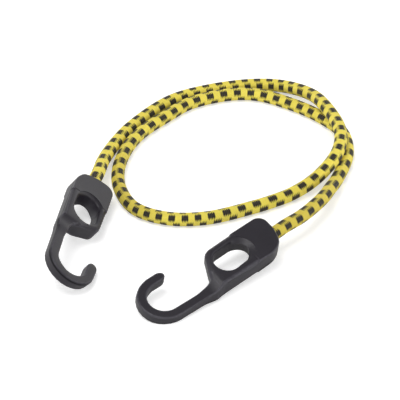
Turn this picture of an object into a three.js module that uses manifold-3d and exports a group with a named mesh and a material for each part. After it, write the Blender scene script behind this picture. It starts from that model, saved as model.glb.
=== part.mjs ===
// A bungee cord: a braided elastic cord lying in a loose double loop, a moulded plastic hook on each end.
// Millimetres, +Z up. Both hooks and the cord rest on the plane z = 0.
// The origin is on that plane, under the middle of the box round the two hooks.
import * as THREE from "three";
import { mergeVertices } from "three/addons/utils/BufferGeometryUtils.js";
import Module from "manifold-3d";

const wasm = await Module();
wasm.setup();

// Driving dimensions of the cord: a woven sleeve over rubber strands
const CORD_DIAMETER = 8;
const COVER_WALL = 0.7;
const STRAND_DIAMETER = 1.8;
const STRANDS_ROUND_THE_MIDDLE = 6;
const CORD_SIDES = 12;
const STRAND_SIDES = 6;
const CORD_STEPS = 78;

// Gap kept between pieces that touch, and how far a cut runs past what it cuts
const CLEARANCE = 0.3;
const OVERRUN = 2;

// Driving dimensions of the hook, in its own frame.
// x runs from the rear end, where the cord comes out, to the bend; +y is the shank's side.
const BLOCK_THICKNESS = 10.4;
const BLOCK_LENGTH = 20;
const BLOCK_EDGE = 0.8;
const FRAME_THICKNESS = 9.8;
const FRAME_EDGE = 2;
const FRAME_WIDTH = 25.6;
const FRAME_FAR_LENGTH = 40.4;
const FRAME_NEAR_LENGTH = 51.9;
const FAR_SIDE_TAPER = 1.2;
const REAR_SLANT = 5.8;
const REAR_BULGE = 2.1;
const REAR_CROWN_SHARE = 0.78;
const REAR_FAR_SHARE = 0.23;
const REAR_NEAR_SHARE = 0.547;
const FRONT_CORNER_SHARE = 0.227;
const RAIL_WIDTH = 4.6;
const FRONT_WALL = 3.75;
const FINGER_HOLE_START = 16.7;
const FINGER_HOLE_OFFSET = -0.25;
const FINGER_HOLE_EDGE = 1.5;
const FINGER_HOLE_TILT = THREE.MathUtils.degToRad(1.6);
const SHOULDER_LEAD = 5.1;
const SHOULDER_LENGTH = 11;
const SHOULDER_SWEEP_POWER = 2.4;
const INNER_FILLET = 6.6;
const SHANK_WIDTH = 5.5;
const SHANK_THICKNESS = 5.2;
const SHANK_EDGE = 1;
const SHANK_LENGTH = 26.5;
const BEND_RADIUS = 12.5;
const BEND_WIDTH = 5.5;
const TIP_LENGTH = 7.5;
const TIP_END_THICKNESS = 3.6;
const BORE_DEPTH = 13.5;

// Facets: points of each arc, of each rounded edge, and stations of each stretch of the shank
const ARC_STEPS = 3;
const EDGE_STEPS = 3;
const BORE_SIDES = 20;
const SHOULDER_STEPS = 8;
const BEND_STEPS = 14;
const TIP_STEPS = 4;
const UNIT_EDGE_SHARE = 0.5;

// Where each hook lies: its origin's place on the ground, and its turn as roll, pitch and yaw in degrees
const HOOK_A = { x: -41.9, y: 58.5, roll: 140.3, pitch: -0.95, yaw: -99.2 };
const HOOK_B = { x: 61.5, y: 3.1, roll: -14.6, pitch: 5.2, yaw: -139.6 };

// The cord's centre line between the two straight stretches at the hooks, from hook A to hook B
const ROUTE = [
  [-39.2, 71, 10.9], [-36.3, 90.7, 7.6], [-32.1, 106.6, 5.3], [-26.8, 120.2, 4.3], [-20.8, 131.4, 4.1],
  [-3.9, 153.7, 4.1], [8.3, 164.4, 4.1], [30.3, 173.8, 4.1], [57, 178.8, 4.1], [75.2, 176.3, 4.4],
  [90.9, 162.1, 7.8], [99.6, 141.7, 12.2], [108, 108.9, 13.1], [104.2, 86.7, 11.4], [90.5, 67.6, 7],
  [76.4, 56.7, 4.3], [64.6, 49.6, 4.1], [51.4, 43.2, 4.1], [24.9, 33.7, 4.1], [2.3, 34.2, 4.1],
  [-16.3, 44.5, 4.1], [-25.7, 64.7, 4.1], [-27.2, 86.2, 4.1], [-22.2, 109.1, 4.1], [-14.2, 125.4, 4.1],
  [1.5, 143.8, 4.1], [17.5, 159.2, 4.1], [43.3, 168.2, 4.1], [59.7, 166.9, 4.1], [78.8, 156.3, 4.1],
  [97.5, 140.2, 4.1], [109.8, 122.1, 4.1], [111.6, 97.8, 4.1], [103.5, 69.5, 5], [99.1, 57.2, 7.6],
  [92.7, 40.3, 11.3], [80.1, 20.8, 13.4], [69.9, 10.6, 13.8],
];
const STRAIGHT_EXIT = 5;

// Finish of each material
const PLASTIC_BLACK = { color: 0x34333a, roughness: 0.42, metalness: 0 };
const BRAID_YELLOW = { color: 0xf2dc1e, roughness: 0.85, metalness: 0 };
const RUBBER_CREAM = { color: 0xd9c9a3, roughness: 0.7, metalness: 0 };

const half = (size) => size / 2;

// A closed three.js geometry as a solid that can be joined and cut
function solidFrom(geometry) {
  geometry.deleteAttribute("normal");
  geometry.deleteAttribute("uv");
  const merged = mergeVertices(geometry);
  return new wasm.Manifold(new wasm.Mesh({
    numProp: 3,
    vertProperties: merged.attributes.position.array,
    triVerts: Uint32Array.from(merged.index.array),
  }));
}

// A cut solid as a three.js geometry again
function geometryFrom(solid) {
  const { vertProperties, triVerts } = solid.getMesh();
  const geometry = new THREE.BufferGeometry();
  geometry.setAttribute("position", new THREE.BufferAttribute(vertProperties, 3));
  geometry.setIndex(new THREE.BufferAttribute(triVerts, 1));
  geometry.computeVertexNormals();
  return geometry;
}

// A closed outline through corners, each sharp or rounded by an arc of its radius
function roundedOutline(corners) {
  const outline = new THREE.Shape();
  corners.forEach((corner, index) => {
    const before = corners.at(index - 1);
    const after = corners[(index + 1) % corners.length];
    const point = new THREE.Vector2(corner.x, corner.y);
    if (corner.radius === 0) {
      outline.lineTo(point.x, point.y);
      return;
    }
    const back = new THREE.Vector2(before.x, before.y).sub(point).normalize();
    const ahead = new THREE.Vector2(after.x, after.y).sub(point).normalize();
    const halfAngle = Math.acos(back.dot(ahead)) / 2;
    const cut = corner.radius / Math.tan(halfAngle);
    const middle = back.clone().add(ahead).normalize();
    const centre = point.clone().addScaledVector(middle, corner.radius / Math.sin(halfAngle));
    const from = point.clone().addScaledVector(back, cut).sub(centre);
    const to = point.clone().addScaledVector(ahead, cut).sub(centre);
    const clockwise = back.cross(ahead) > 0;
    outline.absarc(centre.x, centre.y, corner.radius, from.angle(), to.angle(), clockwise);
  });
  return outline;
}

// A flat plate round the mid-plane, with its outer edges rounded over
function plate(outline, thickness, edge) {
  const geometry = new THREE.ExtrudeGeometry(outline, {
    depth: thickness - 2 * edge,
    curveSegments: ARC_STEPS,
    bevelThickness: edge,
    bevelSize: edge,
    bevelOffset: -edge,
    bevelSegments: EDGE_STEPS,
  });
  geometry.translate(0, 0, edge - half(thickness));
  return solidFrom(geometry);
}

// A prism across the hook, from a side profile of [x, z] points
function acrossHook(profile) {
  const width = FRAME_WIDTH + 2 * OVERRUN;
  const outline = new THREE.Shape(profile.map(([x, z]) => new THREE.Vector2(x, z)));
  const geometry = new THREE.ExtrudeGeometry(outline, { depth: width, bevelEnabled: false });
  geometry.rotateX(THREE.MathUtils.degToRad(90));
  geometry.translate(0, half(width), 0);
  return solidFrom(geometry);
}

// The hook's sides in plan, from which the frame, hole, shoulder and shank all take their places
const FINGER_HOLE_WIDTH = FRAME_WIDTH - 2 * RAIL_WIDTH;
const FINGER_HOLE_LENGTH = half(FRAME_FAR_LENGTH + FRAME_NEAR_LENGTH) - FRONT_WALL - FINGER_HOLE_START;
const SHOULDER_START = FRAME_NEAR_LENGTH - SHOULDER_LEAD;
const BEND_START = FRAME_NEAR_LENGTH + SHANK_LENGTH;
const OUTER_SIDE = half(FRAME_WIDTH);
const INNER_SIDE = OUTER_SIDE - SHANK_WIDTH;
const WALL_FAR_END = new THREE.Vector2(FRAME_FAR_LENGTH, FAR_SIDE_TAPER - OUTER_SIDE);
const WALL_NEAR_END = new THREE.Vector2(FRAME_NEAR_LENGTH, INNER_SIDE);
const WALL_ANGLE = WALL_NEAR_END.clone().sub(WALL_FAR_END).angle();
const FILLET_REACH = INNER_FILLET * Math.tan(WALL_ANGLE / 2);
const FILLET_CENTRE = new THREE.Vector2(FRAME_NEAR_LENGTH + FILLET_REACH, INNER_SIDE - INNER_FILLET);

// Inner side at a station along x: the slanted front wall, the fillet, then the straight shank.
// The slope tells how much wider the rounded edge is in a section square to x.
function innerSideAt(x) {
  if (x >= FILLET_CENTRE.x) {
    return { y: INNER_SIDE, slope: 0 };
  }
  if (x > FRAME_NEAR_LENGTH - FILLET_REACH * Math.cos(WALL_ANGLE)) {
    const along = FILLET_CENTRE.x - x;
    const rise = Math.sqrt(INNER_FILLET ** 2 - along ** 2);
    return { y: FILLET_CENTRE.y + rise, slope: along / rise };
  }
  const slope = Math.tan(WALL_ANGLE);
  return { y: INNER_SIDE - slope * (FRAME_NEAR_LENGTH - x), slope };
}

// The rear block and the frame round the finger hole share one plan
function framePlan() {
  return roundedOutline([
    { x: -half(REAR_SLANT), y: -OUTER_SIDE, radius: FRAME_WIDTH * REAR_FAR_SHARE },
    { x: WALL_FAR_END.x, y: WALL_FAR_END.y, radius: FRAME_WIDTH * FRONT_CORNER_SHARE },
    { x: WALL_NEAR_END.x, y: WALL_NEAR_END.y, radius: 0 },
    { x: WALL_NEAR_END.x, y: OUTER_SIDE, radius: 0 },
    { x: half(REAR_SLANT), y: OUTER_SIDE, radius: FRAME_WIDTH * REAR_NEAR_SHARE },
    { x: -REAR_BULGE, y: 0, radius: FRAME_WIDTH * REAR_CROWN_SHARE },
  ]);
}

function rearBlock() {
  const rear = -REAR_SLANT - OVERRUN;
  const top = half(BLOCK_THICKNESS) + OVERRUN;
  const rampFoot = half(FRAME_THICKNESS) - FRAME_EDGE;
  const rampEnd = BLOCK_LENGTH + half(BLOCK_THICKNESS) - rampFoot;
  const side = acrossHook([
    [rear, -top],
    [BLOCK_LENGTH - OVERRUN, -top],
    [rampEnd, -rampFoot],
    [rampEnd, rampFoot],
    [BLOCK_LENGTH - OVERRUN, top],
    [rear, top],
  ]);
  return plate(framePlan(), BLOCK_THICKNESS, BLOCK_EDGE).intersect(side);
}

function frame() {
  const rear = -REAR_SLANT - OVERRUN;
  const top = half(FRAME_THICKNESS) + OVERRUN;
  const side = acrossHook([
    [rear, -top],
    [SHOULDER_START, -top],
    [SHOULDER_START, top],
    [rear, top],
  ]);
  return plate(framePlan(), FRAME_THICKNESS, FRAME_EDGE).intersect(side);
}

// The finger hole has half-round ends, and its rim is rounded over on both faces.
// The cutter's outline is spread from its middle line by what the rounded rim leaves open at each level.
function fingerHole() {
  const reach = half(FINGER_HOLE_LENGTH - FINGER_HOLE_WIDTH);
  const outline = new THREE.Shape();
  outline.absarc(reach, 0, half(FINGER_HOLE_WIDTH), -Math.PI / 2, Math.PI / 2, false);
  outline.absarc(-reach, 0, half(FINGER_HOLE_WIDTH), Math.PI / 2, -Math.PI / 2, false);
  const levels = [{ z: half(BLOCK_THICKNESS) + OVERRUN, spread: FINGER_HOLE_EDGE }];
  for (let step = 0; step <= EDGE_STEPS; step += 1) {
    const angle = Math.PI / 2 * step / EDGE_STEPS;
    levels.push({
      z: half(FRAME_THICKNESS) - FINGER_HOLE_EDGE * (1 - Math.cos(angle)),
      spread: FINGER_HOLE_EDGE * (1 - Math.sin(angle)),
    });
  }
  const all = [...levels.map(({ z, spread }) => ({ z: -z, spread })), ...levels.toReversed()];
  const geometry = new THREE.ExtrudeGeometry(outline, {
    depth: all.length - 1,
    steps: all.length - 1,
    curveSegments: 2 * ARC_STEPS,
    bevelEnabled: false,
  });
  const position = geometry.attributes.position;
  for (let index = 0; index < position.count; index += 1) {
    const level = all[Math.round(position.getZ(index))];
    const point = new THREE.Vector2(position.getX(index), position.getY(index));
    const core = new THREE.Vector2(THREE.MathUtils.clamp(point.x, -reach, reach), 0);
    const outward = point.clone().sub(core).normalize();
    point.addScaledVector(outward, level.spread);
    position.setXYZ(index, point.x, point.y, level.z);
  }
  geometry.rotateZ(FINGER_HOLE_TILT);
  geometry.translate(FINGER_HOLE_START + half(FINGER_HOLE_LENGTH), FINGER_HOLE_OFFSET, 0);
  return solidFrom(geometry);
}

// The bore that takes the cord's end, its flats clear of the round cord
function cordBore() {
  const length = BORE_DEPTH + REAR_SLANT + OVERRUN;
  const radius = (half(CORD_DIAMETER) + CLEARANCE) / Math.cos(Math.PI / BORE_SIDES);
  const geometry = new THREE.CylinderGeometry(radius, radius, length, BORE_SIDES);
  geometry.rotateZ(THREE.MathUtils.degToRad(90));
  geometry.translate(BORE_DEPTH - half(length), 0, 0);
  return solidFrom(geometry);
}

// Stations of the shoulder, where the frame's end sweeps down to the thin shank.
// Each station has a middle, a direction across to the outer side, its sizes and its rounded edges.
function shoulderStations() {
  const stations = [];
  for (let step = -1; step <= SHOULDER_STEPS; step += 1) {
    const along = Math.max(step, 0) / SHOULDER_STEPS;
    const x = SHOULDER_START + (step < 0 ? -OVERRUN : along * SHOULDER_LENGTH);
    const { y, slope } = innerSideAt(x);
    const share = (1 - along) ** SHOULDER_SWEEP_POWER;
    const edge = THREE.MathUtils.lerp(SHANK_EDGE, FRAME_EDGE, share);
    stations.push({
      middle: new THREE.Vector2(x, half(OUTER_SIDE + y)),
      across: new THREE.Vector2(0, 1),
      width: OUTER_SIDE - y,
      thickness: THREE.MathUtils.lerp(SHANK_THICKNESS, FRAME_THICKNESS, share),
      edge,
      innerEdge: edge * Math.hypot(1, slope),
    });
  }
  return stations;
}

// Stations of the half-round bend, which starts in line with the shank
function bendStations() {
  const centre = new THREE.Vector2(BEND_START, half(OUTER_SIDE + INNER_SIDE) - BEND_RADIUS);
  const stations = [];
  for (let step = 0; step <= BEND_STEPS; step += 1) {
    const across = new THREE.Vector2(0, 1).rotateAround(new THREE.Vector2(), -Math.PI * step / BEND_STEPS);
    stations.push({
      middle: centre.clone().addScaledVector(across, BEND_RADIUS),
      across,
      width: BEND_WIDTH,
      thickness: SHANK_THICKNESS,
      edge: SHANK_EDGE,
      innerEdge: SHANK_EDGE,
    });
  }
  return stations;
}

// Stations of the tip, which runs straight back and ends round
function tipStations() {
  const y = half(OUTER_SIDE + INNER_SIDE) - 2 * BEND_RADIUS;
  const roundEnd = half(BEND_WIDTH);
  const stations = [];
  for (let step = 0; step <= TIP_STEPS; step += 1) {
    const turn = THREE.MathUtils.degToRad(90) * step / (TIP_STEPS + UNIT_EDGE_SHARE);
    const x = BEND_START - TIP_LENGTH + roundEnd * (1 - Math.sin(turn));
    const edge = THREE.MathUtils.lerp(half(TIP_END_THICKNESS) / 2, SHANK_EDGE, Math.cos(turn));
    stations.push({
      middle: new THREE.Vector2(x, y),
      across: new THREE.Vector2(0, -1),
      width: BEND_WIDTH * Math.cos(turn),
      thickness: THREE.MathUtils.lerp(TIP_END_THICKNESS, SHANK_THICKNESS, Math.cos(turn)),
      edge: Math.min(edge, half(BEND_WIDTH * Math.cos(turn)) / 2),
      innerEdge: Math.min(edge, half(BEND_WIDTH * Math.cos(turn)) / 2),
    });
  }
  return stations;
}

// A unit square with rounded corners, which each station scales to its own section
function unitSection() {
  const points = [];
  for (const [signX, signY, turn] of [[1, 1, 0], [-1, 1, 1], [-1, -1, 2], [1, -1, 3]]) {
    for (let step = 0; step <= EDGE_STEPS; step += 1) {
      const angle = Math.PI / 2 * (turn + step / EDGE_STEPS);
      points.push(new THREE.Vector2(
        signX * (1 - UNIT_EDGE_SHARE) + UNIT_EDGE_SHARE * Math.cos(angle),
        signY * (1 - UNIT_EDGE_SHARE) + UNIT_EDGE_SHARE * Math.sin(angle),
      ));
    }
  }
  return new THREE.Shape(points);
}

// Shoulder, shank, bend and tip in one: a bar whose sections are bent and scaled onto the stations
function shank() {
  const stations = [...shoulderStations(), ...bendStations(), ...tipStations()];
  const geometry = new THREE.ExtrudeGeometry(unitSection(), {
    depth: stations.length - 1,
    steps: stations.length - 1,
    bevelEnabled: false,
  });
  const position = geometry.attributes.position;
  for (let index = 0; index < position.count; index += 1) {
    const station = stations[Math.round(position.getZ(index))];
    const across = position.getX(index);
    const up = position.getY(index);
    const sideEdge = across > 0 ? station.edge : station.innerEdge;
    const sideInset = sideEdge * (1 - Math.abs(across)) / UNIT_EDGE_SHARE;
    const topInset = station.edge * (1 - Math.abs(up)) / UNIT_EDGE_SHARE;
    const side = Math.sign(across) * (half(station.width) - sideInset);
    const place = station.middle.clone().addScaledVector(station.across, side);
    position.setXYZ(index, place.x, place.y, Math.sign(up) * (half(station.thickness) - topInset));
  }
  return solidFrom(geometry);
}

function hookGeometry() {
  return geometryFrom(rearBlock().add(frame()).add(shank()).subtract(fingerHole()).subtract(cordBore()));
}

// A hook laid down as it rests: turned, then set so that its lowest point is on the ground
function placedHook(name, geometry, place) {
  const hook = new THREE.Mesh(geometry, new THREE.MeshStandardMaterial(PLASTIC_BLACK));
  const { degToRad } = THREE.MathUtils;
  hook.name = name;
  hook.rotation.set(degToRad(place.roll), degToRad(place.pitch), degToRad(place.yaw), "ZYX");
  hook.position.set(place.x, place.y, 0);
  hook.position.z = -new THREE.Box3().setFromObject(hook, true).min.z;
  hook.updateMatrixWorld();
  return hook;
}

// A point on the line of the cord through a hook, measured from its rear end
function onHookAxis(hook, x) {
  return hook.localToWorld(new THREE.Vector3(x, 0, 0));
}

function cordRoute(hookA, hookB) {
  const inside = BORE_DEPTH - CLEARANCE;
  const straight = [inside, half(inside), 0, -STRAIGHT_EXIT];
  const points = [
    ...straight.map((x) => onHookAxis(hookA, x)),
    ...ROUTE.map(([x, y, z]) => new THREE.Vector3(x, y, z)),
    ...straight.toReversed().map((x) => onHookAxis(hookB, x)),
  ];
  const route = new THREE.CatmullRomCurve3(points, false, "centripetal");
  route.arcLengthDivisions = CORD_STEPS * CORD_SIDES * 2;
  return route;
}

// A round section of the cord, set off from its centre line
function ring(radius, sides, x, y) {
  const points = [];
  for (let side = 0; side < sides; side += 1) {
    const angle = 2 * Math.PI * side / sides;
    points.push(new THREE.Vector2(x + radius * Math.cos(angle), y + radius * Math.sin(angle)));
  }
  return points;
}

function alongCord(name, section, route, finish) {
  const geometry = new THREE.ExtrudeGeometry(section, { steps: CORD_STEPS, extrudePath: route });
  const mesh = new THREE.Mesh(geometryFrom(solidFrom(geometry)), new THREE.MeshStandardMaterial(finish));
  mesh.name = name;
  return mesh;
}

function braidedCover(route) {
  const section = new THREE.Shape(ring(half(CORD_DIAMETER), CORD_SIDES, 0, 0));
  section.holes.push(new THREE.Path(ring(half(CORD_DIAMETER) - COVER_WALL, CORD_SIDES, 0, 0)));
  return alongCord("braided_cover", section, route, BRAID_YELLOW);
}

// The middle strand first, then the ones round it, spread evenly between it and the cover
function coreStrands(route) {
  const reach = half(CORD_DIAMETER) - COVER_WALL - CLEARANCE - half(STRAND_DIAMETER);
  const places = [new THREE.Vector2()];
  for (let strand = 0; strand < STRANDS_ROUND_THE_MIDDLE; strand += 1) {
    const angle = 2 * Math.PI * strand / STRANDS_ROUND_THE_MIDDLE;
    places.push(new THREE.Vector2(reach, 0).rotateAround(new THREE.Vector2(), angle));
  }
  return places.map(({ x, y }, index) => {
    const section = new THREE.Shape(ring(half(STRAND_DIAMETER), STRAND_SIDES, x, y));
    return alongCord(`core_strand_${index + 1}`, section, route, RUBBER_CREAM);
  });
}

const hookShape = hookGeometry();
const hookA = placedHook("hook_a", hookShape, HOOK_A);
const hookB = placedHook("hook_b", hookShape, HOOK_B);
const route = cordRoute(hookA, hookB);

const bungeeCord = new THREE.Group();
bungeeCord.add(hookA, hookB, braidedCover(route), ...coreStrands(route));
export default bungeeCord;
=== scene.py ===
"""A bungee cord in a loose double loop: a yellow and black braided elastic cord with a black plastic hook on
each end. Metres, in the CAD frame."""

import math

import bmesh
import bpy
import numpy as np
from mathutils import Matrix, Vector


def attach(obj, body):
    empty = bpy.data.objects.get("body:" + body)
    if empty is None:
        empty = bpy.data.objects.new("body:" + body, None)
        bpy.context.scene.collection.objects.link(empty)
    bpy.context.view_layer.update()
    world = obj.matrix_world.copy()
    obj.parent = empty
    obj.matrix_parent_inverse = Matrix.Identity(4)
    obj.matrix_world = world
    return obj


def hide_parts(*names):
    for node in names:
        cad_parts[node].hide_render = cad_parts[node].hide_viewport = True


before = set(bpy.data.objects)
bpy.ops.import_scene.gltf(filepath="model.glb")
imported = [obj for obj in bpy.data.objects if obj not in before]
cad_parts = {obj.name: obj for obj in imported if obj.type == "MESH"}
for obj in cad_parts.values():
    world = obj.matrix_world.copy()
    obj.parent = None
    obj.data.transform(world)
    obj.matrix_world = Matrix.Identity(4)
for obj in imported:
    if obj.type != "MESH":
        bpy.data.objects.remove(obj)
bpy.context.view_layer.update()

# Camera. It looks down on the cord from the front with a long lens, about 1.3 m away, so that the loop
# shows almost without perspective.
CAMERA_PLACE = (0.0216, -1.0211, 0.7568)
LOOKS_DOWN = math.radians(35.04)
ROLL = math.radians(-1.14)
LENS_MM = 199.68
SENSOR_MM = 36

camera_data = bpy.data.cameras.new("camera")
camera_data.lens = LENS_MM
camera_data.sensor_width = SENSOR_MM
camera = bpy.data.objects.new("camera", camera_data)
camera.matrix_world = (
    Matrix.Translation(CAMERA_PLACE)
    @ Matrix.Rotation(math.radians(90) - LOOKS_DOWN, 4, "X")
    @ Matrix.Rotation(ROLL, 4, "Z")
)
bpy.context.scene.collection.objects.link(camera)
bpy.context.scene.camera = camera

# Route of the cord. It leaves hook A's rear end straight, lies on the ground in one and three quarter turns,
# passes over itself in two long low humps, and runs straight into hook B's rear end.
CORD_DIAMETER = 0.008
IN_HOOK_A = [(-0.04401, 0.04547, 0.01188), (-0.04296, 0.05199, 0.01177), (-0.0419, 0.0585, 0.01166),
             (-0.0411, 0.06344, 0.01158)]
ON_THE_GROUND = [
    (-0.0392, 0.071, 0.0109), (-0.0363, 0.0907, 0.0076), (-0.0321, 0.1066, 0.0053),
    (-0.0268, 0.1202, 0.0043), (-0.0208, 0.1314, 0.0041), (-0.0039, 0.1537, 0.0041),
    (0.0083, 0.1644, 0.0041), (0.0303, 0.1738, 0.0041), (0.057, 0.1788, 0.0041),
    (0.0752, 0.1763, 0.0044), (0.0909, 0.1621, 0.0078), (0.0996, 0.1417, 0.0122),
    (0.108, 0.1089, 0.0131), (0.1042, 0.0867, 0.0114), (0.0905, 0.0676, 0.007),
    (0.0764, 0.0567, 0.0043), (0.0646, 0.0496, 0.0041), (0.0514, 0.0432, 0.0041),
    (0.0249, 0.0337, 0.0041), (0.0023, 0.0342, 0.0041), (-0.0163, 0.0445, 0.0041),
    (-0.0257, 0.0647, 0.0041), (-0.0272, 0.0862, 0.0041), (-0.0222, 0.1091, 0.0041),
    (-0.0142, 0.1254, 0.0041), (0.0015, 0.1438, 0.0041), (0.0175, 0.1592, 0.0041),
    (0.0433, 0.1682, 0.0041), (0.0597, 0.1669, 0.0041), (0.0788, 0.1563, 0.0041),
    (0.0975, 0.1402, 0.0041), (0.1098, 0.1221, 0.0041), (0.1116, 0.0978, 0.0041),
    (0.1035, 0.0695, 0.005), (0.0991, 0.0572, 0.0076), (0.0927, 0.0403, 0.0113),
    (0.0801, 0.0208, 0.0134), (0.0699, 0.0106, 0.0138),
]
IN_HOOK_B = [(0.06529, 0.00633, 0.01323), (0.0615, 0.0031, 0.01278), (0.05649, -0.00116, 0.01218),
             (0.05149, -0.00542, 0.01158)]
RING_SPACING = 0.0012
STEPS_PER_SPAN = 60


def smooth_line(points, spacing):
    """A centripetal Catmull-Rom curve through the points, as points spaced evenly along it."""
    points = np.array(points)
    ends = np.vstack([2 * points[0] - points[1], points, 2 * points[-1] - points[-2]])
    share = np.linspace(0, 1, STEPS_PER_SPAN, endpoint=False)[:, None]
    fine = []
    for before, start, end, after in zip(ends, ends[1:], ends[2:], ends[3:]):
        lead = np.sqrt(np.linalg.norm(start - before))
        span = np.sqrt(np.linalg.norm(end - start))
        trail = np.sqrt(np.linalg.norm(after - end))
        out = span * ((start - before) / lead - (end - before) / (lead + span) + (end - start) / span)
        into = span * ((end - start) / span - (after - start) / (span + trail) + (after - end) / trail)
        fine.append((2 * share**3 - 3 * share**2 + 1) * start + (share**3 - 2 * share**2 + share) * out
                    + (3 * share**2 - 2 * share**3) * end + (share**3 - share**2) * into)
    fine = np.vstack(fine + [points[-1:]])
    run = np.concatenate([[0], np.cumsum(np.linalg.norm(np.diff(fine, axis=0), axis=1))])
    stations = np.linspace(0, run[-1], round(run[-1] / spacing) + 1)
    return stations, np.stack([np.interp(stations, run, axis) for axis in fine.T], axis=1)


stations, centre_line = smooth_line(IN_HOOK_A + ON_THE_GROUND + IN_HOOK_B, RING_SPACING)

# Braided cover: a tubular sleeve of polyester yarn, braided yellow over the rubber with black yarns that
# surface as five rows of checks. The braid bunches in the bends and opens out on the straights, so the
# checks pass at an uneven pitch, and the sleeve twists a little as it lies.
COVER_WALL = 0.0007
COVER_SIDES = 32
# Along the cord in metres, checks passed so far, and the sleeve's twist in degrees
BRAID_LAY = [
    (0.0132, -0.5, 6), (0.0316, 1, -3), (0.0566, 3, -4), (0.078, 5, -10), (0.1066, 8, -13),
    (0.1366, 11, -10), (0.172, 15, -3), (0.2038, 19, -3), (0.2197, 21, -2), (0.243, 23, -3),
    (0.2737, 26, -7), (0.3113, 30, -13), (0.3405, 33, -22), (0.373, 36, -27), (0.4016, 39, -39),
    (0.4382, 44, -54), (0.4528, 46, -55), (0.4832, 49, -48), (0.5182, 52, -38), (0.5512, 55, -34),
    (0.591, 59, -32), (0.6371, 64, -29), (0.6729, 68, -29), (0.7078, 71, -46), (0.744, 74, -47),
    (0.7757, 76, -50), (0.8085, 79, -56), (0.8286, 81.3, -60),
]
EASING_RINGS = 13
CHECKS_SET_BACK = 0.03
HIDDEN_CHECK_PITCH = 0.01

lay_at, checks_passed, twist = np.array(BRAID_LAY).T
easing = np.hanning(EASING_RINGS) / np.hanning(EASING_RINGS).sum()
checks_along, twist_along = (
    np.convolve(np.pad(np.interp(stations, lay_at, values), EASING_RINGS // 2, "edge"), easing, "valid")
    for values in (checks_passed, np.radians(twist))
)
into_hook_b = np.clip(stations - lay_at[-1], 0, None)
into_hook_a = np.clip(lay_at[0] - stations, 0, None)
checks_along -= CHECKS_SET_BACK
checks_along += (into_hook_b - into_hook_a) / HIDDEN_CHECK_PITCH

route_mesh = bpy.data.meshes.new("cord_route")
route_mesh.from_pydata([tuple(p) for p in centre_line], [(i, i + 1) for i in range(len(centre_line) - 1)], [])
for name, values in (("checks", checks_along), ("twist", twist_along)):
    route_mesh.attributes.new(name, "FLOAT", "POINT").data.foreach_set("value", values.astype(np.float32))


def add_input(tree, name, kind, value=None):
    """Adds a named input to a node tree."""
    socket = tree.interface.new_socket(name, in_out="INPUT", socket_type=kind)
    if value is not None:
        socket.default_value = value


def add_node(tree, kind, label=None, settings=(), **inputs):
    """A node with its settings made and its inputs set or linked. An input goes by its name, with _ for a
    space, or by i and its number."""
    node = tree.nodes.new(kind)
    node.label = label or ""
    for setting, value in settings:
        setattr(node, setting, value)
    for name, value in inputs.items():
        key = int(name[1:]) if name[0] == "i" and name[1:].isdigit() else name.replace("_", " ")
        if isinstance(value, bpy.types.NodeSocket):
            tree.links.new(value, node.inputs[key])
        else:
            node.inputs[key].default_value = value
    return node


def maths(tree, operation, first, second=0.0, third=0.0, label=None, clamp=False):
    """The result of one Math node."""
    node = add_node(tree, "ShaderNodeMath", label, (("operation", operation), ("use_clamp", clamp)),
                    i0=first, i1=second, i2=third)
    return node.outputs[0]


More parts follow.
